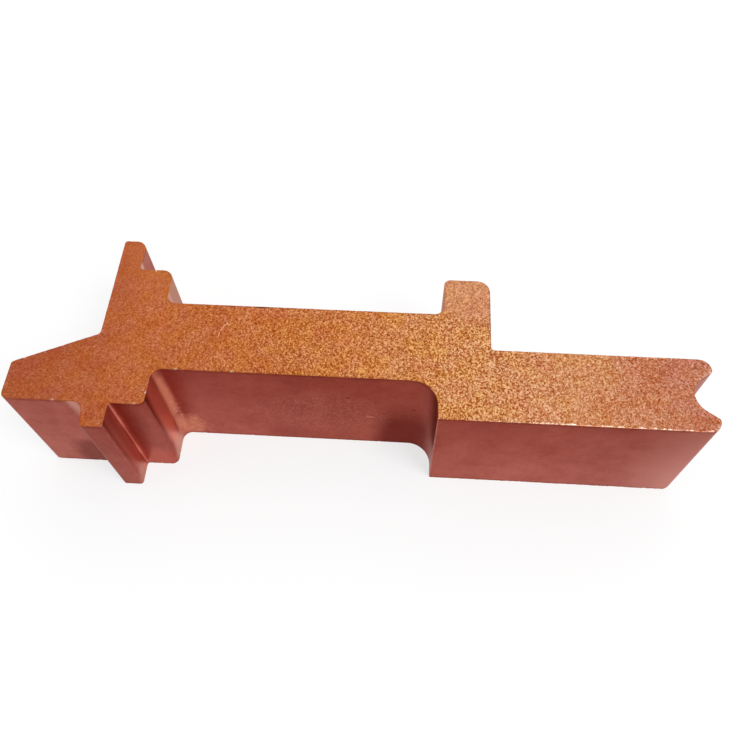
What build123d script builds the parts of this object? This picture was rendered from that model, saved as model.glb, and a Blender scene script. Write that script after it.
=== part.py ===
"""Copper profile: a short sawn length of a solid extruded copper section.

The section is extruded along +Z and the piece stands on its sawn lower end.
+X runs along the section, from the pointed arm to the grooved end of the plate.
+Y runs from the side with the tooth to the side with the horn and the rib.
The origin is the middle of the piece's outer box, on the lower end.
All sizes are millimetres.
"""

import os
from math import radians, sin, tan

from build123d import *

cut_length = 22.8  # from one sawn end to the other

# Levels are heights over the front face of the plate, which the arm's front face shares.

# Plate and its foot, the side where the neck joins it.
plate_thickness = 12.0
plate_length = 40.45
foot_radius = 3.9

# Groove along the free end of the plate, with a round bottom and two straight flanks.
groove_depth = 3.15
groove_radius = 3.2
groove_angle = 70.0
groove_lip_radius = 0.3
nose_radius = 1.8

# Rib on the back of the plate.
rib_width = 7.25
rib_level = 24.7
rib_setback = 0.7  # from the side of the foot to the side of the rib
rib_left_radius = 1.0
rib_right_radius = 2.1
rib_base_left_radius = 1.5
rib_base_right_radius = 0.4

# Neck between the head and the plate.
neck_thickness = 12.0
neck_length = 43.0
neck_level = 6.1  # front face of the neck
neck_front_radius = 1.5
neck_back_radius = 1.4

# Head, with a shoulder at the back and a step at the front.
head_width = 9.25  # from the upright face of the vee to the neck
shoulder_level = 24.4
shoulder_radius = 1.8
step_radius = 1.1

# Horn that stands on the head beside the vee.
horn_width = 3.7
horn_level = 30.05
horn_edge_radius = 0.4
horn_back_radius = 1.6
horn_base_radius = 0.4

# Tooth that hangs below the head, narrower at its tip.
tooth_offset = 3.95  # from the upright face of the vee to the tooth's upright side
tooth_root_width = 4.0
tooth_tip_width = 3.35
tooth_drop = 3.95
tooth_tip_radius = 0.5
tooth_root_left_radius = 1.4
tooth_root_right_radius = 0.3

# Pointed arm, whose back slopes up into the vee.
arm_reach = 12.4
arm_tip_level = 6.25
arm_root_level = 11.9
arm_front_radius = 1.0
arm_back_radius = 0.5
vee_radius = 0.7

# Places along the section, from the tip of the arm.
vee_x = arm_reach
horn_x = vee_x + horn_width
tooth_x = vee_x + tooth_offset
neck_x = vee_x + head_width
foot_x = neck_x + neck_length
rib_x = foot_x + rib_setback
rib_end_x = rib_x + rib_width
end_x = foot_x + plate_length
neck_back_level = neck_level + neck_thickness

# The groove's flanks would meet behind its round bottom. Each nose stays within its lip.
half_angle = radians(groove_angle / 2)
groove_level = plate_thickness / 2
groove_x = end_x - groove_depth - groove_radius * (1 / sin(half_angle) - 1)
half_mouth = (end_x - groove_x) * tan(half_angle)
lip_width = groove_level - half_mouth
nose_round = min(nose_radius, lip_width - groove_lip_radius)

# Each corner's place and radius, from the tip of the arm, along the back and round by the front.
corners = [
    ((0, arm_tip_level), arm_back_radius),
    ((vee_x, arm_root_level), vee_radius),
    ((vee_x, horn_level), horn_edge_radius),
    ((horn_x, horn_level), horn_back_radius),
    ((horn_x, shoulder_level), horn_base_radius),
    ((neck_x, shoulder_level), shoulder_radius),
    ((neck_x, neck_back_level), neck_back_radius),
    ((rib_x, neck_back_level), rib_base_left_radius),
    ((rib_x, rib_level), rib_left_radius),
    ((rib_end_x, rib_level), rib_right_radius),
    ((rib_end_x, plate_thickness), rib_base_right_radius),
    ((end_x, plate_thickness), nose_round),
    ((end_x, groove_level + half_mouth), groove_lip_radius),
    ((groove_x, groove_level), groove_radius),
    ((end_x, groove_level - half_mouth), groove_lip_radius),
    ((end_x, 0), nose_round),
    ((foot_x, 0), 0),
    ((foot_x, neck_level), foot_radius),
    ((neck_x, neck_level), neck_front_radius),
    ((neck_x, 0), step_radius),
    ((tooth_x, 0), tooth_root_right_radius),
    ((tooth_x, -tooth_drop), tooth_tip_radius),
    ((tooth_x - tooth_tip_width, -tooth_drop), tooth_tip_radius),
    ((tooth_x - tooth_root_width, 0), tooth_root_left_radius),
    ((0, 0), arm_front_radius),
]

lower_end = Plane((-end_x / 2, -(horn_level - tooth_drop) / 2, 0))

with BuildPart() as copper_profile:
    with BuildSketch(lower_end) as section:
        with BuildLine():
            Polyline(*[place for place, radius in corners], close=True)
        make_face()
        for place, radius in corners:
            if radius > 0:
                fillet(section.vertices().sort_by_distance(place)[0], radius)
    extrude(amount=cut_length)

copper_profile.part.label = "copper_profile"
os.makedirs("parts", exist_ok=True)
export_step(copper_profile.part, "parts/copper_profile.step")
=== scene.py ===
import math

import bpy
import numpy as np
from mathutils import Matrix, Vector, kdtree, noise
from mathutils.geometry import delaunay_2d_cdt


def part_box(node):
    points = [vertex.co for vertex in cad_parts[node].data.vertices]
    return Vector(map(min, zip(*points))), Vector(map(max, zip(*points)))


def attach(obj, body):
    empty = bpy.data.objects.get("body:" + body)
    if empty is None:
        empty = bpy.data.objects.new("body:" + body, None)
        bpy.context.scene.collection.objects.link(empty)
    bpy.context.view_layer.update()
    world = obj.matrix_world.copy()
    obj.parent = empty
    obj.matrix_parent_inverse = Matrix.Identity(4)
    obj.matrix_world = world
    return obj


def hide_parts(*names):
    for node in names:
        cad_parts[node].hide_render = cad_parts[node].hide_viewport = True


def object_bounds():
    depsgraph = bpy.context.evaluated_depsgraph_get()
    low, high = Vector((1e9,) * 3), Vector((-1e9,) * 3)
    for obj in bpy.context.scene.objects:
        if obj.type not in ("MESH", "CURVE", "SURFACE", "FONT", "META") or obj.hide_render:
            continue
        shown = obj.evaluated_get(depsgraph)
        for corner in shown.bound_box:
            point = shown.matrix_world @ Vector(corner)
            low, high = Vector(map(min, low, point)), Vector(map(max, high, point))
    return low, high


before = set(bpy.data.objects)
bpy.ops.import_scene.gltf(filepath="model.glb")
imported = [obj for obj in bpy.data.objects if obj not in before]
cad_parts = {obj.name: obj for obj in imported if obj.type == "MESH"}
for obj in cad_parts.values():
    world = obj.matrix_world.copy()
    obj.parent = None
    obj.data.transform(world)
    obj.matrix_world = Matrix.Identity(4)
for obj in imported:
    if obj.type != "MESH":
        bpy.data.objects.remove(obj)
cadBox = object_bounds()
mm = 0.001  # the object's sizes are written in millimetres
scene = bpy.context.scene
scene.view_settings.view_transform = "Standard"
print("frame loaded, nodes", sorted(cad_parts))


# The section's outline, kept as complex numbers: x is the real part, y the imaginary one.

outlineLook = {
    "sampling": 0.04 * mm,  # fine even steps that the outline is softened on
    "softness": 0.15 * mm,  # the extruded corners are never quite crisp
    "columnStep": 0.3 * mm,  # widest gap between two columns of the wall mesh
    "columnTurn": math.radians(9),  # most that the outline turns between two columns
}


def ramp(value, start, full):
    return np.clip((value - start) / (full - start), 0, 1)


def readSection(node):
    # lower edges of the wall faces, chained into one loop that runs anticlockwise
    mesh = node.data
    spots = [tuple(round(c / mm, 4) for c in v.co) for v in mesh.vertices]
    lowest = min(spot[2] for spot in spots)
    onward = {}
    for face in mesh.polygons:
        if abs(face.normal.z) > 0.5:  # one of the ends
            continue
        corners = [spots[i] for i in face.vertices]
        for here, there in zip(corners, corners[1:] + corners[:1]):
            if here[2] == lowest and there[2] == lowest:
                onward[here] = there
    loop = [min(onward)]  # the tip of the arm
    while onward[loop[-1]] != loop[0]:
        loop.append(onward[loop[-1]])
    return np.array([complex(x, y) for x, y, z in loop]) * mm


def evenSteps(loop, step):
    closed = np.append(loop, loop[0])
    run = np.append(0, np.cumsum(abs(np.diff(closed))))
    count = round(run[-1] / step)
    return np.interp(np.linspace(0, run[-1], count, endpoint=False), run, closed)


def blurred(loop, step, width):
    # gaussian blur round a closed loop
    tones = np.fft.fftfreq(len(loop), step)
    return np.fft.ifft(np.fft.fft(loop) * np.exp(-2 * (math.pi * width * tones) ** 2))


def loopNoise(dice, count, step, wave):
    # smooth random numbers from -1 to 1 that close round a loop, each hump about one wave long
    tones = np.fft.rfftfreq(count, step)
    chord = dice.normal(size=len(tones)) + 1j * dice.normal(size=len(tones))
    chord *= np.exp(-(tones * wave) ** 2)
    chord[0] = 0
    ripple = np.fft.irfft(chord, count)
    return ripple / abs(ripple).max()


def layeredNoise(dice, count, step, layers):
    # each layer is its share and its wave
    return sum(share * loopNoise(dice, count, step, wave) for share, wave in layers)


def pickColumns(loop, step, look):
    # more columns where the outline turns, fewer along the flats
    onward = np.roll(loop, -1) - loop
    turn = abs(np.angle(onward / np.roll(onward, 1)))
    effort = np.cumsum(step / look["columnStep"] + turn / look["columnTurn"])
    count = math.ceil(effort[-1])
    return np.unique(np.searchsorted(effort, np.arange(count) * effort[-1] / count))


# The saw: its round blade left its grain in wide arcs over both ends.

sawLook = {
    "centre": complex(2, -91) * mm,
    "reach": 91 * mm,  # radius of the arcs at the middle of the section
    "stretch": 1.25,  # the grain is this much longer along the arcs
    "coarse": {"size": 0.38 * mm, "share": 0.6, "layer": 0.0},
    "fine": {"size": 0.24 * mm, "share": 0.8, "layer": 5 * mm},
    # depth of the tearing along the section: it rises past the head, then falls a little (millimetres)
    "rise": {"from": -40, "to": 10, "low": 0.5, "gain": 0.5},
    "fall": {"from": 25, "to": 55, "loss": 0.2},
}


def sawGrain(spots, look):
    # torn grain, about -1 to 1
    reach = spots - look["centre"]
    rings = abs(reach)
    arcs = np.angle(reach) * look["reach"] / look["stretch"]
    grain = np.zeros(len(spots))
    for part in (look["coarse"], look["fine"]):
        for i, (ring, arc) in enumerate(zip(rings, arcs)):
            grain[i] += part["share"] * noise.noise(Vector((ring, arc, part["layer"])) / part["size"])
    return grain


def grainStrength(x, look):
    rise, fall = look["rise"], look["fall"]
    risen = ramp(x / mm, rise["from"], rise["to"])
    fallen = ramp(x / mm, fall["from"], fall["to"])
    return rise["low"] + rise["gain"] * risen * risen * (3 - 2 * risen) - fall["loss"] * fallen


# The dressed piece: fine sawn ends, a worn rim round each and the extruded wall between them.

profileLook = {
    "node": "copper_profile",
    "seed": 29,
    # wall
    "wallRows": 12,
    "wallGap": 0.12 * mm,  # from the rim to the nearest row of the wall
    "dieLines": [(0.6, 0.5 * mm), (0.4, 2.5 * mm)],  # share and wave of the lines that the die drew
    "dieLineDepth": 0.004 * mm,
    "cornerSpread": 0.9 * mm,  # how far the darkening of an inner corner spreads
    "sharpBend": (1.5, 4.5),  # turn per millimetre where a corner starts to wear, and where it is bright
    # rounded rim of each end
    "rimSteps": 3,
    "rimRound": 0.11 * mm,  # mean radius
    "rimUneven": 0.11 * mm,
    "rimThinnest": 0.02 * mm,
    "rimRag": [(0.7, 0.35 * mm), (0.3, 4 * mm)],  # share and wave of its raggedness
    "rimTone": {"mean": 0.36, "rag": 0.5},  # its level on the scale of the grain's colours
    "cornerShare": 0.6,  # most of a corner's own radius that the rim takes
    "cornerWidest": 2 * mm,
    # burr along the front of the plate, and crumbs, some of them on the front edge of the head,
    # with places in millimetres; their light tint is partly bare metal and partly painted glints
    "burrHeight": 0.045 * mm,
    "burrWidth": 0.15 * mm,
    "burr": {"noise": [(2.2, 0.5 * mm)], "level": 0.35, "from": 16, "full": 28},
    "glintCrumbs": {
        "noise": [(6, 0.3 * mm)], "level": -3.6, "reach": 0.3 * mm,
        "places": [(-44.6, -13.05), (-32.4, -13.05), (-30.9, -11), (-27.3, -6.95), (-18.8, -6.95)],
    },
    # sawn ends
    "endSink": 0.05 * mm,  # the sawn face lies this much below its burr
    "pitch": {"lower": 0.3 * mm, "upper": 0.185 * mm},  # the lower end is seldom seen
    "shake": 0.25,  # how far a point of the grid is moved, and how far it keeps from the rim, in pitches
    "clear": 0.6,
    "tear": 0.35,  # how much of the crests comes from the saw's grain, and how much is grit
    "grit": 0.2,
    "pitDepth": 0.07 * mm,
    "swellDepth": 0.03 * mm,
    "swellWave": 5 * mm,
}


def shapeOutline(look, dice):
    # softened outline with its die lines, and what the rims and finishes need to know of each column
    step = outlineLook["sampling"]
    fine = evenSteps(readSection(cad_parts[look["node"]]), step)
    fine = blurred(fine, step, outlineLook["softness"])
    onward = np.roll(fine, -1) - np.roll(fine, 1)
    outward = -1j * onward / abs(onward)
    bend = np.angle(np.roll(outward, -1) / np.roll(outward, 1)) / abs(onward)
    dieLines = layeredNoise(dice, len(fine), step, look["dieLines"])
    fine = fine - outward * look["dieLineDepth"] * (1 + dieLines) / 2
    columns = pickColumns(fine, step, outlineLook)
    hollow = blurred(np.clip(-bend * mm, 0, 1), step, look["cornerSpread"]).real
    return {
        "samples": len(fine),
        "columns": columns,
        "place": fine[columns],
        "outward": outward[columns],
        "roundest": look["cornerShare"] / np.maximum(bend, 1 / look["cornerWidest"])[columns],
        "hollow": hollow[columns],  # 1 along an inner corner
        "edge": ramp(bend * mm, *look["sharpBend"])[columns],  # 1 along a sharp outer corner
    }


def shapeRim(outline, look, dice):
    # radius of the rounding, its raggedness and the burr round one end
    def columnNoise(layers):
        everywhere = layeredNoise(dice, outline["samples"], outlineLook["sampling"], layers)
        return everywhere[outline["columns"]]

    place, outward = outline["place"], outline["outward"]
    rag = columnNoise(look["rimRag"])
    burrLook, glintCrumbLook = look["burr"], look["glintCrumbs"]
    burr = np.clip(columnNoise(burrLook["noise"]) + burrLook["level"], 0, 1)
    burr *= np.clip(-outward.imag, 0, 1) * ramp(place.real / mm, burrLook["from"], burrLook["full"])
    # crumbs: small lumps of burr, which the sawn material tints light as painted glints
    glintCrumbs = np.clip(columnNoise(glintCrumbLook["noise"]) + glintCrumbLook["level"], 0, 1)
    for x, y in glintCrumbLook["places"]:
        near = 1 - abs(place - complex(x, y) * mm) / glintCrumbLook["reach"]
        glintCrumbs = np.maximum(glintCrumbs, np.clip(near, 0, 1))
    burr = np.maximum(burr, glintCrumbs)
    radius = look["rimRound"] + look["rimUneven"] * rag + look["burrWidth"] * burr
    return np.clip(radius, look["rimThinnest"], outline["roundest"]), rag, burr


def rimLoops(outline, rim, look):
    # place and depth below the end of each loop of the rim, from the wall to the sawn face
    radius, rag, burr = rim
    for k in range(look["rimSteps"] + 1):
        angle = math.pi / 2 * k / look["rimSteps"]
        inset = radius * (1 - math.cos(angle))
        depth = look["endSink"] + radius * (1 - math.sin(angle))
        lift = look["burrHeight"] * burr * math.sin(angle) ** 2
        yield outline["place"] - outline["outward"] * inset, depth - lift


def stackLoops(outline, lowerRim, upperRim, bottom, top, look):
    # place and height of each loop, from the lower end to the upper one
    loops = [(place, bottom + depth) for place, depth in reversed(lowerRim)]
    wallLow = loops[-1][1] + look["wallGap"]
    wallHigh = top - upperRim[0][1] - look["wallGap"]
    for share in np.linspace(0, 1, look["wallRows"]):
        loops.append((outline["place"], wallLow * (1 - share) + wallHigh * share))
    return loops + [(place, top - depth) for place, depth in upperRim]


def endPoints(rim, outward, pitch, look, dice):
    # a shaken triangular grid over the end, clear of the rim
    tree = kdtree.KDTree(len(rim))
    for i, spot in enumerate(rim):
        tree.insert((spot.real, spot.imag, 0), i)
    tree.balance()
    inside = []
    rowGap = pitch * math.sqrt(0.75)
    rows = np.arange(rim.imag.min(), rim.imag.max(), rowGap)
    for k, y in enumerate(rows):
        for x in np.arange(rim.real.min() + (k % 2) * pitch / 2, rim.real.max(), pitch):
            shake = dice.uniform(-look["shake"], look["shake"], 2) * pitch
            spot = complex(x + shake[0], y + shake[1])
            i, away = tree.find((spot.real, spot.imag, 0))[1:]
            if away > look["clear"] * pitch and ((spot - rim[i]) * outward[i].conjugate()).real < 0:
                inside.append(spot)
    return np.array(inside)


def fillEnd(rim, inner):
    # triangles over rim and inner points, each a triple of indices into rim then inner
    spots = [Vector((p.real, p.imag)) / mm for p in np.append(rim, inner)]
    count = len(rim)
    border = [(i, (i + 1) % count) for i in range(count)]
    insideOnly = 1  # the kind of filling that leaves out what lies beyond the border
    nearest = 1e-7  # points closer than this would be merged
    filled = delaunay_2d_cdt(spots, border, [], insideOnly, nearest)
    verts, faces, source = filled[0], filled[2], filled[3]
    assert len(verts) == len(spots), "the rim crosses itself"
    return np.array([[source[i][0] for i in face] for face in faces])


def sawEnd(rim, outward, pitch, look, dice):
    # inner points of one end, their depth below it, how near each is to a crest, and the triangles
    inner = endPoints(rim, outward, pitch, look, dice)
    faces = fillEnd(rim, inner)
    grit = dice.normal(0, look["grit"], len(inner))
    crest = np.clip(0.5 + look["tear"] * sawGrain(inner, sawLook) + grit, 0, 1)
    swell = np.array([noise.noise(Vector((p.real, p.imag, 0)) / look["swellWave"]) for p in inner])
    depth = look["endSink"] + look["pitDepth"] * (1 - crest) * grainStrength(inner.real, sawLook)
    depth += look["swellDepth"] * (0.5 + 0.5 * swell)
    return inner, depth, crest, faces


def buildProfile(look):
    dice = np.random.default_rng(look["seed"])
    lowCorner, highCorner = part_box(look["node"])
    bottom, top = lowCorner.z, highCorner.z
    outline = shapeOutline(look, dice)
    rims = {end: shapeRim(outline, look, dice) for end in ("lower", "upper")}
    lowerRim, upperRim = [list(rimLoops(outline, rims[end], look)) for end in ("lower", "upper")]
    loops = stackLoops(outline, lowerRim, upperRim, bottom, top, look)
    count = len(outline["columns"])

    # wall and rims
    verts = [np.column_stack((place.real, place.imag, height)) for place, height in loops]
    grain, burrAndGlint = np.full((2, len(loops), count), [[[0.5]], [[0]]])
    rimRows = {"lower": slice(None, len(lowerRim)), "upper": slice(-len(upperRim), None)}
    tone = look["rimTone"]
    for end, rows in rimRows.items():
        radius, rag, burr = rims[end]
        grain[rows] = np.clip(tone["mean"] + tone["rag"] * rag, 0, 1)
        # burr and crumbs, tinted light by the sawn material: bare metal and painted glints
        burrAndGlint[rows] = burr
    facts = {
        "grain": [grain.ravel()],
        "burrAndGlint": [burrAndGlint.ravel()],
        "hollow": [np.tile(outline["hollow"], len(loops))],
        "edge": [np.tile(outline["edge"], len(loops))],
    }
    around = np.arange(count)
    after = (around + 1) % count
    quads = np.concatenate([
        np.column_stack((a + around, a + after, a + count + after, a + count + around))
        for a in range(0, count * (len(loops) - 1), count)
    ])

    # sawn ends
    triangles = []
    base = count * len(loops)
    for end, loopIndex in (("lower", 0), ("upper", len(loops) - 1)):
        rim = loops[loopIndex][0]
        inner, depth, crest, faces = sawEnd(rim, outline["outward"], look["pitch"][end], look, dice)
        height = top - depth if end == "upper" else bottom + depth
        verts.append(np.column_stack((inner.real, inner.imag, height)))
        facts["grain"].append(crest)
        for name in ("burrAndGlint", "hollow", "edge"):
            facts[name].append(np.zeros(len(inner)))
        faces = np.append(loopIndex * count + around, base + np.arange(len(inner)))[faces]
        triangles.append(faces if end == "upper" else faces[:, ::-1])
        base += len(inner)
        print(end, "end", len(faces), "triangles")

    mesh = bpy.data.meshes.new("copperProfile")
    spots = np.concatenate(verts)
    mesh.from_pydata(spots.tolist(), [], quads.tolist() + np.concatenate(triangles).tolist())
    layOutMap(mesh, spots, loops, triangles, bakeLook)
    mesh.polygons.foreach_set("use_smooth", np.ones(len(mesh.polygons), bool))
    sawnQuads = (look["rimSteps"] - 1) * count  # the rim's outermost step is extruded wall
    slots = np.zeros(len(mesh.polygons), np.int32)
    slots[sawnQuads:len(quads) - sawnQuads] = 1
    mesh.polygons.foreach_set("material_index", slots)
    for name, values in facts.items():
        field = mesh.attributes.new(name, "FLOAT", "POINT")
        field.data.foreach_set("value", np.concatenate(values).astype(np.float32))
    mesh.update()
    piece = bpy.data.objects.new("copperProfile", mesh)
    scene.collection.objects.link(piece)
    print("profile", count, "columns,", 2 * len(quads) + sum(map(len, triangles)), "triangles")
    return piece


# Layout of the map that the finish can be baked to: both ends flat, the wall unrolled in two strips.

bakeLook = {"margin": 0.01, "gap": 0.012}


def layOutMap(mesh, spots, loops, triangles, look):
    usable = 1 - 2 * look["margin"]
    lowest, highest = spots.min(0), spots.max(0)
    endScale = usable / (highest[0] - lowest[0])
    base = look["margin"]
    corners = []  # map places of the triangles of both ends
    for side, faces in ((-1, triangles[0]), (1, triangles[1])):
        flat = spots[faces.ravel(), :2]
        across = flat[:, 0] - lowest[0] if side > 0 else highest[0] - flat[:, 0]
        upward = flat[:, 1] - lowest[1]
        corners.append(np.column_stack((look["margin"] + across * endScale, base + upward * endScale)))
        base += (highest[1] - lowest[1]) * endScale + look["gap"]

    outline = loops[len(loops) // 2][0]
    run = np.append(0, np.cumsum(abs(np.roll(outline, -1) - outline)))
    half = np.searchsorted(run, run[-1] / 2)
    wallScale = usable / max(run[half], run[-1] - run[half])
    climb = [0]
    for (place, height), (nextPlace, nextHeight) in zip(loops, loops[1:]):
        climb.append(climb[-1] + np.hypot(abs(nextPlace - place), nextHeight - height).mean())
    climb = np.array(climb) * wallScale
    column = np.tile(np.arange(len(outline)), len(loops) - 1)
    row = np.repeat(np.arange(len(loops) - 1), len(outline))
    second = column >= half
    left = look["margin"] - np.where(second, run[half], 0) * wallScale
    bottom = base + np.where(second, climb[-1] + look["gap"], 0)
    quads = np.empty((len(column), 4, 2))
    for corner, (right, up) in enumerate(((0, 0), (1, 0), (1, 1), (0, 1))):
        quads[:, corner, 0] = left + run[column + right] * wallScale
        quads[:, corner, 1] = bottom + climb[row + up]
    places = np.concatenate([quads.reshape(-1, 2)] + corners)
    mesh.uv_layers.new(name="OFBake").data.foreach_set("uv", places.ravel().astype(np.float32))
    print("map laid out, height used", round(float(places[:, 1].max()), 3))


# Materials. Patterns run in object coordinates, which are the frame's own metres.

def newMaterial(name):
    material = bpy.data.materials.new(name)
    material.use_nodes = True
    tree = material.node_tree
    return material, tree, tree.nodes["Principled BSDF"]


def plug(tree, socket, value):
    if isinstance(value, bpy.types.NodeSocket):
        tree.links.new(value, socket)
    else:
        socket.default_value = value


def addNode(tree, kind, inputs=None, **settings):
    node = tree.nodes.new(kind)
    for name, value in settings.items():
        setattr(node, name, value)
    for name, value in (inputs or {}).items():
        plug(tree, node.inputs[name], value)
    return node


def calc(tree, operation, a, b=0.0, clamp=False):
    return addNode(tree, "ShaderNodeMath", {0: a, 1: b}, operation=operation, use_clamp=clamp).outputs[0]


def product(tree, first, *others):
    for other in others:
        first = calc(tree, "MULTIPLY", first, other)
    return first


def blend(tree, parts):
    # weighted sum of several fields
    total = 0.0
    for value, weight in parts:
        inputs = {0: value, 1: weight, 2: total}
        total = addNode(tree, "ShaderNodeMath", inputs, operation="MULTIPLY_ADD").outputs[0]
    return total


def remap(tree, value, fromLow, fromHigh, toLow, toHigh, smooth=False):
    return addNode(tree, "ShaderNodeMapRange", {
        "Value": value, "From Min": fromLow, "From Max": fromHigh, "To Min": toLow, "To Max": toHigh,
    }, interpolation_type="SMOOTHSTEP" if smooth else "LINEAR").outputs["Result"]


def vectorCalc(tree, operation, a, b):
    return addNode(tree, "ShaderNodeVectorMath", {0: a, 1: b}, operation=operation).outputs[0]


def vectorLength(tree, vector):
    return addNode(tree, "ShaderNodeVectorMath", {0: vector}, operation="LENGTH").outputs["Value"]


def split(tree, vector):
    return addNode(tree, "ShaderNodeSeparateXYZ", {0: vector}).outputs


def join(tree, *parts):
    return addNode(tree, "ShaderNodeCombineXYZ", dict(enumerate(parts))).outputs[0]


def noiseField(tree, coords, wave, detail=3.0, rough=0.6, stretch=(1, 1, 1)):
    # a wave is the size of one blotch
    scaled = addNode(tree, "ShaderNodeMapping", {"Vector": coords, "Scale": [s / wave for s in stretch]})
    return addNode(tree, "ShaderNodeTexNoise", {
        "Vector": scaled.outputs[0], "Scale": 1.0, "Detail": detail, "Roughness": rough,
    }).outputs[0]


def cloud(tree, coords, look):
    # share of a cloudy tint, 0 to 1
    field = noiseField(tree, coords, look["wave"], look["detail"], look["rough"])
    return remap(tree, field, *look["range"], 0.0, 1.0, smooth=True)


def cellField(tree, coords, size):
    # a random level for each small cell, like the crystals of the metal
    cells = addNode(tree, "ShaderNodeTexVoronoi", {"Vector": coords, "Scale": 1 / size})
    return addNode(tree, "ShaderNodeSeparateColor", {0: cells.outputs["Color"]}).outputs[0]


def colourRamp(tree, value, stops):
    band = addNode(tree, "ShaderNodeValToRGB", {"Fac": value})
    elements = band.color_ramp.elements
    while len(elements) < len(stops):
        elements.new(0.5)
    for element, (place, colour) in zip(elements, stops):
        element.position = place
        element.color = (*colour, 1)
    return band.outputs[0]


def mixColour(tree, kind, share, a, b):
    # the node's sockets go by number, because those of its other data types have the same names
    node = addNode(tree, "ShaderNodeMix", data_type="RGBA", blend_type=kind)
    for index, value in ((0, share), (6, a), (7, b)):
        plug(tree, node.inputs[index], value)
    return node.outputs[2]


def attribute(tree, name):
    return addNode(tree, "ShaderNodeAttribute", attribute_name=name).outputs["Fac"]


def addBump(tree, surface, height, look):
    bump = addNode(tree, "ShaderNodeBump", {
        "Height": height, "Strength": look["strength"], "Distance": look["distance"],
    })
    tree.links.new(bump.outputs[0], surface.inputs["Normal"])


# Marks: spots of another tint. A mark's place, size, rag (the wave of its ragged edge) and specks
# are in millimetres, and its kind is MIX unless it says otherwise.

markLook = {
    "edge": (0.6, 1.4),  # where a mark starts to fade and where it ends, in its own sizes
    "rough": 0.9,  # how far the edge strays, for a mark that doesn't say
    "speckRange": (0.48, 0.66),
}


def patch(tree, coords, mark):
    # the mark's share in its middle, 0 outside it
    place, size = [[c * mm for c in mark[key]] for key in ("place", "size")]
    inner = vectorCalc(tree, "DIVIDE", vectorCalc(tree, "SUBTRACT", coords, place), size)
    away = vectorLength(tree, inner)
    ragged = noiseField(tree, coords, mark["rag"] * mm)
    rough = mark.get("rough", markLook["rough"])
    away = blend(tree, [(away, 1.0), (ragged, rough), (1.0, -rough / 2)])
    return remap(tree, away, *markLook["edge"], mark.get("share", 1.0), 0.0, smooth=True)


def addMarks(tree, coords, colour, marks):
    for mark in marks:
        share = patch(tree, coords, mark)
        if "specks" in mark:
            specks = noiseField(tree, coords, mark["specks"] * mm, detail=2.0)
            share = product(tree, share, remap(tree, specks, *markLook["speckRange"], 0.0, 1.0))
        colour = mixColour(tree, mark.get("kind", "MIX"), share, colour, (*mark["tint"], 1))
    return colour


# Sawn ends. A span gives two places or levels, then the values at them.

sectionSpan = (-52 * mm, 52 * mm, 0, 1)  # place along the section: 0 at the arm, 1 at the nose

sawnLook = {
    # colours of the grain from its pits to its crests
    "grainColours": [
        (0.15, (0.36, 0.088, 0.022)),
        (0.5, (0.6, 0.25, 0.117)),
        (0.85, (0.83, 0.5, 0.35)),
    ],
    "grainMix": {"torn": 0.44, "fine": 0.5, "crystals": 0.32, "level": -0.13},
    "fineGrain": 0.2 * mm,
    "crystals": 0.2 * mm,
    "streaks": 2.2,  # how much longer the head's grain is along the saw's arcs
    "evenSpan": (-36 * mm, -18 * mm, 0.0, 1.0),  # past the head the grain is even
    # contrast of the grain: the saw tore the foot most, and the head, the horn and the rib less
    "contrastAlong": [
        (-46 * mm, 0, 0.72, 1.62),
        (6 * mm, 14 * mm, 0, 0.45),
        (20 * mm, 32 * mm, 0, -0.75),
    ],
    "contrastAcross": (3 * mm, 13 * mm, 1.0, 0.45),
    # tarnish along the section: place and tint
    "tarnish": [
        (0.07, (0.85, 0.5, 0.44)), (0.16, (0.95, 0.62, 0.46)), (0.29, (0.89, 0.61, 0.42)),
        (0.42, (0.85, 0.64, 0.4)), (0.64, (0.88, 0.83, 0.63)), (0.81, (0.93, 0.91, 0.82)),
        (0.98, (0.87, 0.74, 0.84)),
    ],
    "drift": {"wave": 14 * mm, "reach": 0.24},  # how far the tarnish strays from its place
    # red and golden clouds, the golden ones fainter on the plate
    "blush": {
        "wave": 5 * mm, "detail": 3.0, "rough": 0.6, "range": (0.48, 0.66),
        "tint": (0.95, 0.84, 0.82, 1),
    },
    "gilt": {
        "wave": 3.2 * mm, "detail": 1.0, "rough": 0.5, "range": (0.4, 0.62),
        "tint": (1.0, 1.0, 0.74, 1),
    },
    "giltSpan": (10 * mm, 24 * mm, 1.0, 0.5),
    # one curved scratch, which the grain breaks up
    "scratch": {
        "centre": (-18.06 * mm, -0.87 * mm, 0), "radius": 3.69 * mm,
        "widthSpan": (0.02 * mm, 0.08 * mm, 1.0, 0.0),
        "part": dict(place=(-21.3, 0.6, 22.8), size=(1.5, 1.5, 1), rag=0.5),
        "grainSpan": (0.36, 0.5, 0.0, 1.0), "tint": (0.93, 0.55, 0.38, 1),
    },
    "marks": [
        # dark nick in the back edge of the neck
        dict(place=(-15.9, 5.05, 22.8), size=(1.4, 0.3, 1), rag=0.5, tint=(0.35, 0.3, 0.3),
             kind="MULTIPLY"),
        # the rib is pinker
        dict(place=(16.4, 10, 11), size=(7, 6, 40), rag=4, tint=(0.6, 0.29, 0.19), share=0.3),
    ],
    # light tint of the burr and crumbs: partly bare metal, partly painted glints
    "burr": {"tint": (0.97, 0.66, 0.5, 1), "share": 0.8},
    "roughSpan": (0.3, 0.7, 0.48, 0.34),
    "bump": {"strength": 0.8, "distance": 0.03 * mm},
}


def sawCoords(tree, coords):
    # the saw's own coordinates: ring, arc and height
    centre = (sawLook["centre"].real, sawLook["centre"].imag, 0)
    x, y, z = split(tree, vectorCalc(tree, "SUBTRACT", coords, centre))
    ring = vectorLength(tree, join(tree, x, y))
    arc = calc(tree, "MULTIPLY", calc(tree, "ARCTAN2", y, x), sawLook["reach"])
    return join(tree, ring, arc, z)


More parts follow.
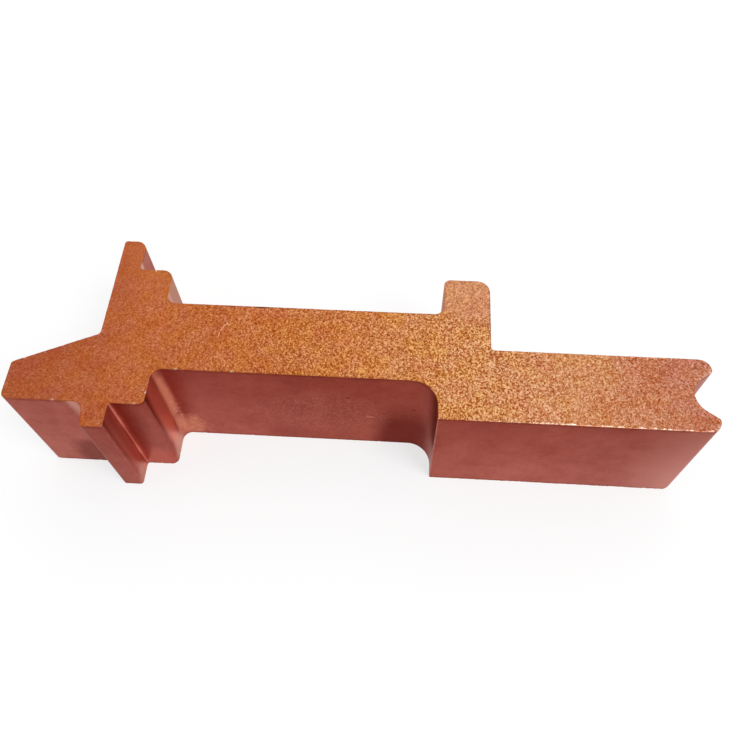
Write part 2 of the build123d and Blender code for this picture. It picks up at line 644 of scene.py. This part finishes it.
def scratchLine(tree, coords, fine, look):
    # a thin arc round a centre, of which only one part shows
    x, y = split(tree, vectorCalc(tree, "SUBTRACT", coords, look["centre"]))[:2]
    away = vectorLength(tree, join(tree, x, y))
    away = calc(tree, "ABSOLUTE", calc(tree, "SUBTRACT", away, look["radius"]))
    line = remap(tree, away, *look["widthSpan"])
    broken = remap(tree, fine, *look["grainSpan"])
    return product(tree, line, patch(tree, coords, look["part"]), broken)


def sawnCopper(look):
    material, tree, surface = newMaterial("sawnCopper")
    coords = addNode(tree, "ShaderNodeTexCoord").outputs["Object"]
    alongX, alongY = split(tree, coords)[:2]
    saw = sawCoords(tree, coords)

    # grain and its contrast
    alongArc = (1, 1 / look["streaks"], 1)
    even = noiseField(tree, saw, look["fineGrain"], detail=1.0, rough=0.5)
    streaky = noiseField(tree, saw, look["fineGrain"], detail=1.0, rough=0.5, stretch=alongArc)
    evenShare = remap(tree, alongX, *look["evenSpan"], smooth=True)
    fine = blend(tree, [(even, evenShare), (streaky, calc(tree, "SUBTRACT", 1.0, evenShare))])
    crystals = cellField(tree, saw, look["crystals"])
    shares = look["grainMix"]
    grain = blend(tree, [
        (attribute(tree, "grain"), shares["torn"]),
        (fine, shares["fine"]),
        (crystals, shares["crystals"]),
        (1.0, shares["level"]),
    ])
    steps = [remap(tree, alongX, *span, smooth=True) for span in look["contrastAlong"]]
    strength = blend(tree, [(step, 1.0) for step in steps])
    strength = product(tree, strength, remap(tree, alongY, *look["contrastAcross"]))
    middle = 0.5  # level of the grain that the contrast leaves alone
    contrast = blend(tree, [(calc(tree, "SUBTRACT", grain, middle), strength), (1.0, middle)])
    colour = colourRamp(tree, contrast, look["grainColours"])

    # tarnish along the section, then red and golden clouds
    drift = look["drift"]
    strayed = noiseField(tree, coords, drift["wave"], rough=0.55)
    place = remap(tree, alongX, *sectionSpan)
    place = blend(tree, [(place, 1.0), (strayed, drift["reach"]), (1.0, -drift["reach"] / 2)])
    colour = mixColour(tree, "MULTIPLY", 1.0, colour, colourRamp(tree, place, look["tarnish"]))
    reddened = cloud(tree, coords, look["blush"])
    colour = mixColour(tree, "MULTIPLY", reddened, colour, look["blush"]["tint"])
    gilded = product(tree, cloud(tree, coords, look["gilt"]), remap(tree, alongX, *look["giltSpan"]))
    colour = mixColour(tree, "MULTIPLY", gilded, colour, look["gilt"]["tint"])

    # scratch, marks, and the burr with its painted glints
    line = scratchLine(tree, coords, fine, look["scratch"])
    colour = mixColour(tree, "MIX", line, colour, look["scratch"]["tint"])
    colour = addMarks(tree, coords, colour, look["marks"])
    # painted glints: the burr and crumbs get a light tint
    burrAndGlint = product(tree, attribute(tree, "burrAndGlint"), look["burr"]["share"])
    colour = mixColour(tree, "MIX", burrAndGlint, colour, look["burr"]["tint"])
    tree.links.new(colour, surface.inputs["Base Color"])
    surface.inputs["Metallic"].default_value = 1.0
    tree.links.new(remap(tree, grain, *look["roughSpan"]), surface.inputs["Roughness"])
    addBump(tree, surface, fine, look["bump"])
    return material


# Extruded wall.

wallLook = {
    "blotches": 9 * mm,
    "dieLines": {"wave": 0.7 * mm, "stretch": (1, 1, 0.02)},
    "mottle": 0.6 * mm,
    "toneMix": {"blotches": 0.66, "lines": 0.08, "mottle": 0.26},
    "toneColours": [
        (0.3, (0.37, 0.098, 0.078)),
        (0.5, (0.455, 0.137, 0.108)),
        (0.72, (0.54, 0.188, 0.15)),
    ],
    # tarnish along the section: place and tint
    "tarnish": [
        (0.08, (0.97, 1.0, 1.0)), (0.12, (0.79, 0.74, 0.73)), (0.16, (0.86, 0.71, 0.69)),
        (0.27, (0.91, 0.74, 0.72)), (0.4, (0.8, 0.62, 0.56)), (0.53, (0.82, 0.62, 0.54)),
        (0.63, (0.89, 0.73, 0.68)), (0.78, (0.95, 0.86, 0.81)), (0.92, (0.86, 0.79, 0.79)),
    ],
    "blush": {
        "wave": 2 * mm, "detail": 3.0, "rough": 0.6, "range": (0.45, 0.65),
        "tint": (0.95, 0.86, 0.84, 1),
    },
    # painted reflection: the back walls paler, as if they caught more light; its border strays with the
    # blotches, and the tint is over 1 because it lightens
    "back": {"span": (3 * mm, 11 * mm, 0.0, 1.0), "stray": 14 * mm, "tint": (1.22, 1.66, 1.6, 1)},
    # painted reflection: the nose paler towards its end
    "nose": {"span": (42 * mm, 52 * mm, 0.0, 0.85), "tint": (0.63, 0.29, 0.245, 1)},
    "frontSpan": (-6 * mm, -2 * mm, 1.0, 0.0),
    # painted shade: the front walls darken towards the upper end, the arm less
    "paintedTopShade": {
        "up": (4 * mm, 22 * mm, 0.0, 1.0), "along": (-44 * mm, -40 * mm, 0.6, 1.0),
        "tint": (0.7, 0.54, 0.5, 1),
    },
    "cornerDarkening": (0.9, 0.8, 0.8, 1),  # darkens the inner corners
    # painted shadow that the foot casts on the wall beside it, whose left side leans with the height
    "footShade": {
        "along": (0.6 * mm, 4.6 * mm, 0.0, 1.0), "lean": 0.15, "stray": 2 * mm,
        "up": (6.5 * mm, 16 * mm, 1.0, 0.0), "beside": (10.8 * mm, 12.6 * mm, 1.0, 0.0),
        "tint": (0.45, 0.2, 0.2, 1),
    },
    # painted shadow: a broken dark line below the burr of each end
    "rimShade": {
        "depth": (0.25 * mm, 0.85 * mm, 1.0, 0.0), "wave": 2.2 * mm, "broken": (0.34, 0.64, 0.25, 1.0),
        "tint": (0.66, 0.5, 0.47, 1),
    },
    "wornEdge": {"span": (0.4, 0.6, 0.1, 0.5), "tint": (0.72, 0.36, 0.28, 1)},
    "glancingTint": (0.77, 0.6, 0.58, 1),  # reflections at a low angle stay coppery
    "roughSpan": (0.3, 0.7, 0.42, 0.32),
    "bumpMix": {"lines": 0.5, "mottle": 0.5},
    "bump": {"strength": 0.15, "distance": 0.02 * mm},
    "marks": [
        # painted shadow of the tooth on the arm beside it
        dict(place=(-43.5, -13, 2), size=(4, 2, 6.5), rag=6, tint=(0.52, 0.4, 0.38), kind="MULTIPLY"),
        # painted light: the side of the step brighter and the side of the tooth a lighter red, both paler
        # at the foot
        dict(place=(-30.9, -9.7, 14), size=(0.8, 1.7, 15), rag=5, rough=0.3, tint=(0.84, 0.31, 0.23)),
        dict(place=(-36.2, -14.8, 14), size=(0.8, 1.25, 15), rag=5, rough=0.3, tint=(0.58, 0.165, 0.12)),
        dict(place=(-30.9, -10, 1.2), size=(0.8, 2, 3), rag=3, rough=0.5, tint=(0.66, 0.35, 0.275),
             share=0.75),
        dict(place=(-36.2, -15.2, 1), size=(0.8, 1.5, 2.8), rag=3, rough=0.5, tint=(0.58, 0.28, 0.22),
             share=0.75),
        # painted highlight along the root of the tooth, dimmed half way down and at the foot
        dict(place=(-36.1, -13.5, 9), size=(0.7, 0.8, 15), rag=3, tint=(0.78, 0.25, 0.185), share=0.6),
        dict(place=(-36.05, -13.2, 11.3), size=(0.4, 0.4, 4), rag=3, rough=0.3, tint=(0.72, 0.52, 0.5),
             kind="MULTIPLY"),
        dict(place=(-36.05, -13.2, 1.5), size=(0.4, 0.4, 3), rag=3, rough=0.3, tint=(0.78, 0.62, 0.6),
             kind="MULTIPLY"),
        # painted reflection: a light corner of the neck beside the step, and the orange band up the
        # hollow there
        dict(place=(-29.3, -7.2, 3.6), size=(2.6, 1.4, 3.4), rag=1.2, tint=(0.64, 0.23, 0.14), share=0.6),
        dict(place=(-28.9, -7.2, 3.8), size=(3.2, 1.4, 3.8), rag=1.5, tint=(0.8, 0.33, 0.2), specks=0.9,
             share=0.35),
        dict(place=(-30.4, -7.9, 15), size=(1.1, 0.9, 9), rag=3, tint=(0.72, 0.24, 0.14), share=0.6),
        # front of the step: slightly paler near its right edge, and redder at its foot
        dict(place=(-32.1, -13, 11), size=(1.4, 1.2, 10), rag=2.5, tint=(0.52, 0.2, 0.165), share=0.12),
        dict(place=(-33.4, -13, 2), size=(2.6, 1.2, 4), rag=3, tint=(0.56, 0.125, 0.09), share=0.5),
        # painted highlight in the hollow between the arm and the tooth
        dict(place=(-41.2, -13.4, 23), size=(1.4, 0.8, 6), rag=3, rough=0.5, tint=(0.66, 0.33, 0.27),
             share=0.68),
        # painted reflection: the side of the shoulder paler and the side of the horn dimmer, and painted
        # highlights in the inner corners of both
        dict(place=(-30.9, 8.5, 12), size=(0.8, 3.5, 14), rag=2, tint=(0.515, 0.265, 0.187)),
        dict(place=(-36.4, 14.5, 12), size=(0.8, 3, 14), rag=2, tint=(0.84, 0.8, 0.78), kind="MULTIPLY"),
        dict(place=(-36.3, 11.7, 22), size=(0.8, 0.9, 5), rag=1.5, tint=(0.8, 0.6, 0.52), share=0.6),
        dict(place=(-30.6, 5.8, 22), size=(0.9, 1.3, 6), rag=1.5, tint=(0.85, 0.64, 0.54), share=0.4),
        # wear: light and dark specks on the neck, and light ones in the hollow beside the step
        dict(place=(-7, -7, 10), size=(10, 1, 6.5), rag=3, tint=(0.5, 0.175, 0.125), specks=0.26,
             share=0.65),
        dict(place=(-5, -7, 9), size=(14, 1, 8), rag=4, tint=(0.72, 0.62, 0.6), specks=0.34,
             share=0.6, kind="MULTIPLY"),
        dict(place=(-29.8, -7.7, 9), size=(1.2, 1, 5), rag=1, tint=(0.76, 0.34, 0.25), specks=0.5,
             share=0.5),
        # a light nick and two dark dots on the neck
        dict(place=(1.85, -6.95, 9.7), size=(0.6, 1, 0.15), rag=0.3, tint=(0.56, 0.23, 0.17)),
        dict(place=(-1.5, -6.95, 16.1), size=(0.3, 1, 0.25), rag=0.3, tint=(0.5, 0.4, 0.4),
             kind="MULTIPLY"),
        dict(place=(8.9, -6.95, 13), size=(0.25, 1, 0.25), rag=0.3, tint=(0.5, 0.4, 0.4),
             kind="MULTIPLY"),
    ],
}


def besideFoot(tree, alongX, alongZ, blotch, look):
    # share of the painted shadow beside the foot
    across = blend(tree, [
        (alongX, 1.0), (alongZ, -look["lean"]), (blotch, look["stray"]), (1.0, -look["stray"] / 2),
    ])
    return product(
        tree,
        remap(tree, across, *look["along"], smooth=True),
        remap(tree, alongZ, *look["up"], smooth=True),
        remap(tree, alongX, *look["beside"]),
    )


def belowBurr(tree, coords, alongZ, look):
    # share of the painted shadow line, by the distance from the nearer end
    middle = (cadBox[0][2] + cadBox[1][2]) / 2
    fromMiddle = calc(tree, "ABSOLUTE", calc(tree, "SUBTRACT", alongZ, middle))
    line = remap(tree, calc(tree, "SUBTRACT", middle, fromMiddle), *look["depth"])
    gaps = noiseField(tree, coords, look["wave"])
    return product(tree, line, remap(tree, gaps, *look["broken"]))


def extrudedCopper(look):
    material, tree, surface = newMaterial("extrudedCopper")
    coords = addNode(tree, "ShaderNodeTexCoord").outputs["Object"]
    alongX, alongY, alongZ = split(tree, coords)

    # blotches, die lines and mottling
    drawn = look["dieLines"]
    blotch = noiseField(tree, coords, look["blotches"], detail=4.0)
    lines = noiseField(tree, coords, drawn["wave"], stretch=drawn["stretch"])
    mottle = noiseField(tree, coords, look["mottle"])
    shares = look["toneMix"]
    tone = blend(tree, [
        (blotch, shares["blotches"]),
        (lines, shares["lines"]),
        (mottle, shares["mottle"]),
    ])
    colour = colourRamp(tree, tone, look["toneColours"])

    # tarnish along the section, red clouds, and the painted reflection that makes the back and the nose
    # paler
    place = remap(tree, alongX, *sectionSpan)
    colour = mixColour(tree, "MULTIPLY", 1.0, colour, colourRamp(tree, place, look["tarnish"]))
    reddened = cloud(tree, coords, look["blush"])
    colour = mixColour(tree, "MULTIPLY", reddened, colour, look["blush"]["tint"])
    back = look["back"]
    behind = blend(tree, [(alongY, 1.0), (blotch, back["stray"]), (1.0, -back["stray"] / 2)])
    paintedBackSheen = remap(tree, behind, *back["span"], smooth=True)
    colour = mixColour(tree, "MULTIPLY", paintedBackSheen, colour, back["tint"])
    paintedNoseSheen = remap(tree, alongX, *look["nose"]["span"])
    colour = mixColour(tree, "MIX", paintedNoseSheen, colour, look["nose"]["tint"])

    # painted shade towards the upper end, darker inner corners, the painted shadow beside the foot and
    # the painted shadow line below the burr
    onFront = remap(tree, alongY, *look["frontSpan"])
    paintedTopShade = look["paintedTopShade"]
    topShadeShare = product(
        tree, onFront, remap(tree, alongZ, *paintedTopShade["up"]), remap(tree, alongX, *paintedTopShade["along"]),
    )
    colour = mixColour(tree, "MULTIPLY", topShadeShare, colour, paintedTopShade["tint"])
    colour = mixColour(tree, "MULTIPLY", attribute(tree, "hollow"), colour, look["cornerDarkening"])
    shaded = product(tree, besideFoot(tree, alongX, alongZ, blotch, look["footShade"]), onFront)
    colour = mixColour(tree, "MULTIPLY", shaded, colour, look["footShade"]["tint"])
    rimShadeShare = belowBurr(tree, coords, alongZ, look["rimShade"])
    colour = mixColour(tree, "MULTIPLY", rimShadeShare, colour, look["rimShade"]["tint"])

    # worn edges and marks
    worn = product(tree, attribute(tree, "edge"), remap(tree, mottle, *look["wornEdge"]["span"]))
    colour = mixColour(tree, "MIX", worn, colour, look["wornEdge"]["tint"])
    colour = addMarks(tree, coords, colour, look["marks"])
    tree.links.new(colour, surface.inputs["Base Color"])
    surface.inputs["Metallic"].default_value = 1.0
    surface.inputs["Specular Tint"].default_value = look["glancingTint"]
    tree.links.new(remap(tree, tone, *look["roughSpan"]), surface.inputs["Roughness"])
    relief = blend(tree, [(lines, look["bumpMix"]["lines"]), (mottle, look["bumpMix"]["mottle"])])
    addBump(tree, surface, relief, look["bump"])
    return material


profile = buildProfile(profileLook)
for material in (sawnCopper(sawnLook), extrudedCopper(wallLook)):
    profile.data.materials.append(material)
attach(profile, "root")
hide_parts(profileLook["node"])
print("profile dressed")


# Stage: pale floor, soft light and the camera.

floorLook = {
    "radius": 4.0,  # metres
    "sides": 96,
    "gap": 0.02 * mm,
    "bounce": 0.8,  # what the floor gives back to the object
    "whiteShare": 0.7,  # how much of the seen floor is plain white, the rest takes the shadow
}


def buildFloor(look):
    mesh = bpy.data.meshes.new("floor")
    ring = [(look["radius"] * math.cos(a), look["radius"] * math.sin(a), -look["gap"])
            for a in np.linspace(0, 2 * math.pi, look["sides"], endpoint=False)]
    mesh.from_pydata(ring, [], [list(range(len(ring)))])
    floor = bpy.data.objects.new("floor", mesh)
    scene.collection.objects.link(floor)
    material, tree = newMaterial("paleFloor")[:2]
    tree.nodes.clear()
    path = addNode(tree, "ShaderNodeLightPath").outputs
    seen = calc(tree, "ADD", path["Is Camera Ray"], path["Is Glossy Ray"], clamp=True)
    seen = calc(tree, "ADD", seen, path["Is Transmission Ray"], clamp=True)
    matt = addNode(tree, "ShaderNodeBsdfDiffuse", {"Color": (look["bounce"],) * 3 + (1,)}).outputs[0]
    shaded = addNode(tree, "ShaderNodeBsdfDiffuse", {"Color": (1, 1, 1, 1)}).outputs[0]
    white = addNode(tree, "ShaderNodeEmission", {"Color": (1, 1, 1, 1), "Strength": 1.0}).outputs[0]
    shown = addNode(tree, "ShaderNodeMixShader", {0: look["whiteShare"], 1: shaded, 2: white}).outputs[0]
    both = addNode(tree, "ShaderNodeMixShader", {0: seen, 1: matt, 2: shown}).outputs[0]
    addNode(tree, "ShaderNodeOutputMaterial", {"Surface": both})
    mesh.materials.append(material)


skyLook = {
    "horizon": 0.92,
    "front": 0.25,
    "back": 0.75,
    "frontToBack": (-0.8, 0.1),  # where the upper sky changes from one to the other, of a direction's y
    "climb": (0.12, 0.5),  # where the horizon changes to the upper sky, of a direction's z
}


def buildSky(look):
    world = bpy.data.worlds.new("studio")
    world.use_nodes = True
    scene.world = world
    tree = world.node_tree
    toBack, toTop = split(tree, addNode(tree, "ShaderNodeTexCoord").outputs["Generated"])[1:3]
    upper = remap(tree, toBack, *look["frontToBack"], look["front"], look["back"], smooth=True)
    level = remap(tree, toTop, *look["climb"], look["horizon"], upper, smooth=True)
    tree.links.new(level, tree.nodes["Background"].inputs["Strength"])
    tree.nodes["Background"].inputs["Color"].default_value = (1, 1, 1, 1)


# places and sizes in metres
lampLooks = [
    {"name": "keySoftbox", "place": (0.38, -0.28, 0.77), "size": 0.35, "power": 3.8},
    {"name": "backSoftbox", "place": (0.06, 0.55, 0.92), "size": 0.6, "power": 0.9},
]


def buildLamp(look):
    light = bpy.data.lights.new(look["name"], "AREA")
    light.size = look["size"]
    light.energy = look["power"]
    lamp = bpy.data.objects.new(look["name"], light)
    lamp.location = look["place"]
    lamp.rotation_euler = (-lamp.location).to_track_quat("-Z", "Y").to_euler()
    scene.collection.objects.link(lamp)


cameraLook = {
    "place": (6.387 * mm, -61.4 * mm, 122.516 * mm),
    "aim": (1.119 * mm, -4.692 * mm, 22.8 * mm),
    "roll": math.radians(-2.0),
    "lens": 37.79,
    "sensor": 36.0,
    "nearest": 5 * mm,
}


def buildCamera(look):
    eye = bpy.data.cameras.new("camera")
    eye.lens = look["lens"]
    eye.sensor_width = look["sensor"]
    eye.clip_start = look["nearest"]
    camera = bpy.data.objects.new("camera", eye)
    place = Vector(look["place"])
    turn = (Vector(look["aim"]) - place).to_track_quat("-Z", "Y").to_matrix()
    turn = turn @ Matrix.Rotation(look["roll"], 3, "Z")
    camera.matrix_world = Matrix.Translation(place) @ turn.to_4x4()
    scene.collection.objects.link(camera)
    scene.camera = camera


buildFloor(floorLook)
buildSky(skyLook)
for lampLook in lampLooks:
    buildLamp(lampLook)
buildCamera(cameraLook)
print("stage set")
